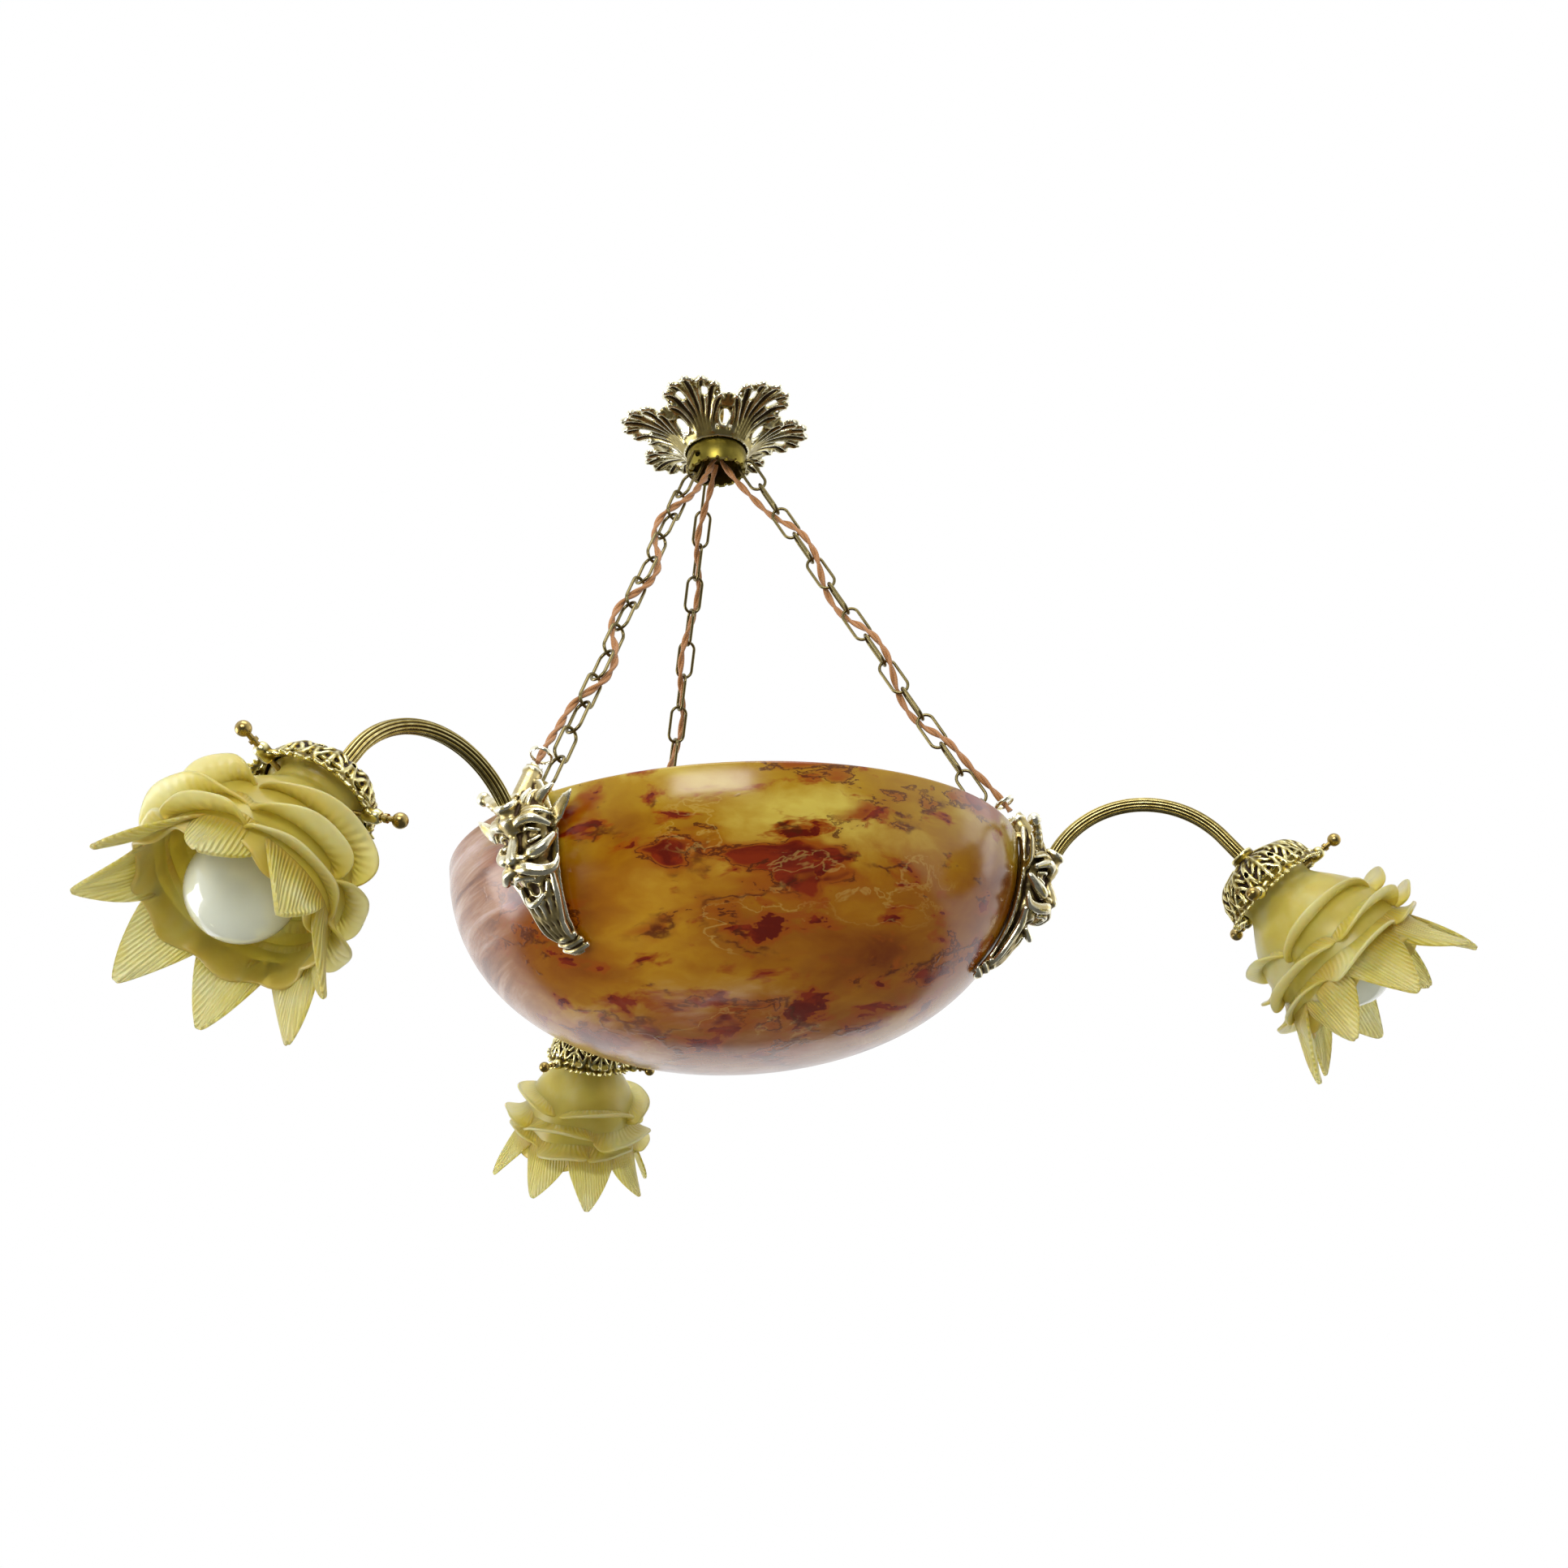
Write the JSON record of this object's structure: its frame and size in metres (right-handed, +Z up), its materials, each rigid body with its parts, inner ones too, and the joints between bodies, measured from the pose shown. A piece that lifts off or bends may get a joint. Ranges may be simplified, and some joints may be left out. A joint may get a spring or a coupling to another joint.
{
  "type": "bowl pendant light",
  "caption": "Ceiling pendant: carved stone bowl on chains from a leaf crown, with mask brackets, reeded arms and ruffled glass shades.",
  "frame": {"origin": "centre of the hanging eye's bore", "axes": "+Z up; the back arm points along +Y; the eye's bore runs along X"},
  "size_m": [0.8782, 0.778, 0.5809],
  "materials": {
    "antique_brass": "cast brass, aged olive brown in the recesses and rubbed pale on the edges",
    "bright_brass": "turned brass, lightly aged",
    "chain_brass": "drawn wire, dull grey gold",
    "lampholder_brass": "satin brass",
    "copper_silk": "twisted silk covered flex, copper coloured",
    "alabaster": null,
    "frosted_glass": "satin frosted amber glass",
    "opal_bulb": "opal white",
    "porcelain": null,
    "felt": "dark felt"
  },
  "bodies": {
    "crown": {"hanging_eye": "antique_brass", "eye_nut": "antique_brass", "ceiling_crown": "antique_brass", "crown_collar": "antique_brass", "terminal_block": "porcelain"},
    "chain_back": {"chain_top_link_back": "chain_brass", "chain_back": "chain_brass", "flex_back": "copper_silk"},
    "thumbscrew_back_1": {"thumbscrew_back_1": "bright_brass"},
    "thumbscrew_back_2": {"thumbscrew_back_2": "bright_brass"},
    "thumbscrew_back_3": {"thumbscrew_back_3": "bright_brass"},
    "chain_left": {"chain_top_link_left": "chain_brass", "chain_left": "chain_brass", "flex_left": "copper_silk"},
    "thumbscrew_left_1": {"thumbscrew_left_1": "bright_brass"},
    "thumbscrew_left_2": {"thumbscrew_left_2": "bright_brass"},
    "thumbscrew_left_3": {"thumbscrew_left_3": "bright_brass"},
    "chain_right": {"chain_top_link_right": "chain_brass", "chain_right": "chain_brass", "flex_right": "copper_silk"},
    "thumbscrew_right_1": {"thumbscrew_right_1": "bright_brass"},
    "thumbscrew_right_2": {"thumbscrew_right_2": "bright_brass"},
    "thumbscrew_right_3": {"thumbscrew_right_3": "bright_brass"},
    "bowl": {"alabaster_bowl": "alabaster", "bracket_screws": "bright_brass", "bracket_washers": "bright_brass", "felt_washers": "felt", "gallery_locknuts": "bright_brass", "bowl_lamp_spider": "bright_brass", "bowl_lamp_nipple": "bright_brass", "bowl_lampholder": "lampholder_brass", "bowl_bulb": "opal_bulb", "mask_bracket_back": "antique_brass", "arm_back": "antique_brass", "gallery_back": "antique_brass", "glass_shade_back": "frosted_glass", "lampholder_back": "lampholder_brass", "bulb_back": "opal_bulb", "mask_bracket_left": "antique_brass", "arm_left": "antique_brass", "gallery_left": "antique_brass", "glass_shade_left": "frosted_glass", "lampholder_left": "lampholder_brass", "bulb_left": "opal_bulb", "mask_bracket_right": "antique_brass", "arm_right": "antique_brass", "gallery_right": "antique_brass", "glass_shade_right": "frosted_glass", "lampholder_right": "lampholder_brass", "bulb_right": "opal_bulb"}
  },
  "joints": [
    {"name": "bowl_twist", "type": "hinge", "parent": "crown", "child": "bowl", "pos_m": [0, 0, 0], "axis": [0, 0, 1], "range_deg": [-5, 5], "stiffness_Nm_per_rad": 1.2},
    {"name": "chain_back_swing", "type": "hinge", "parent": "crown", "child": "chain_back", "pos_m": [0, 0.0207, -0.0435], "axis": [0, 0.8873, 0.4611], "range_deg": [-3, 3]},
    {"name": "chain_left_swing", "type": "hinge", "parent": "crown", "child": "chain_left", "pos_m": [-0.01793, -0.01035, -0.0435], "axis": [-0.7685, -0.4437, 0.4611], "range_deg": [-3, 3]},
    {"name": "chain_right_swing", "type": "hinge", "parent": "crown", "child": "chain_right", "pos_m": [0.01793, -0.01035, -0.0435], "axis": [0.7685, -0.4437, 0.4611], "range_deg": [-3, 3]},
    {"name": "thumbscrew_back_1_turnout", "type": "slide", "parent": "bowl", "child": "thumbscrew_back_1", "axis": [0, 0.8191, 0.5736], "range_m": [0, 0.005]},
    {"name": "thumbscrew_back_2_turnout", "type": "slide", "parent": "bowl", "child": "thumbscrew_back_2", "axis": [0.866, -0.4096, -0.2868], "range_m": [0, 0.005]},
    {"name": "thumbscrew_back_3_turnout", "type": "slide", "parent": "bowl", "child": "thumbscrew_back_3", "axis": [-0.866, -0.4096, -0.2868], "range_m": [0, 0.005]},
    {"name": "thumbscrew_left_1_turnout", "type": "slide", "parent": "bowl", "child": "thumbscrew_left_1", "axis": [-0.7094, -0.4096, 0.5736], "range_m": [0, 0.005]},
    {"name": "thumbscrew_left_2_turnout", "type": "slide", "parent": "bowl", "child": "thumbscrew_left_2", "axis": [-0.0783, 0.9548, -0.2868], "range_m": [0, 0.005]},
    {"name": "thumbscrew_left_3_turnout", "type": "slide", "parent": "bowl", "child": "thumbscrew_left_3", "axis": [0.7877, -0.5452, -0.2868], "range_m": [0, 0.005]},
    {"name": "thumbscrew_right_1_turnout", "type": "slide", "parent": "bowl", "child": "thumbscrew_right_1", "axis": [0.7094, -0.4096, 0.5736], "range_m": [0, 0.005]},
    {"name": "thumbscrew_right_2_turnout", "type": "slide", "parent": "bowl", "child": "thumbscrew_right_2", "axis": [-0.7877, -0.5452, -0.2868], "range_m": [0, 0.005]},
    {"name": "thumbscrew_right_3_turnout", "type": "slide", "parent": "bowl", "child": "thumbscrew_right_3", "axis": [0.0783, 0.9548, -0.2868], "range_m": [0, 0.005]}
  ],
  "couplings": [
    {"joint": "chain_back_swing", "follows": "bowl_twist", "ratio": 0.5175},
    {"joint": "chain_left_swing", "follows": "bowl_twist", "ratio": 0.5175},
    {"joint": "chain_right_swing", "follows": "bowl_twist", "ratio": 0.5175}
  ]
}
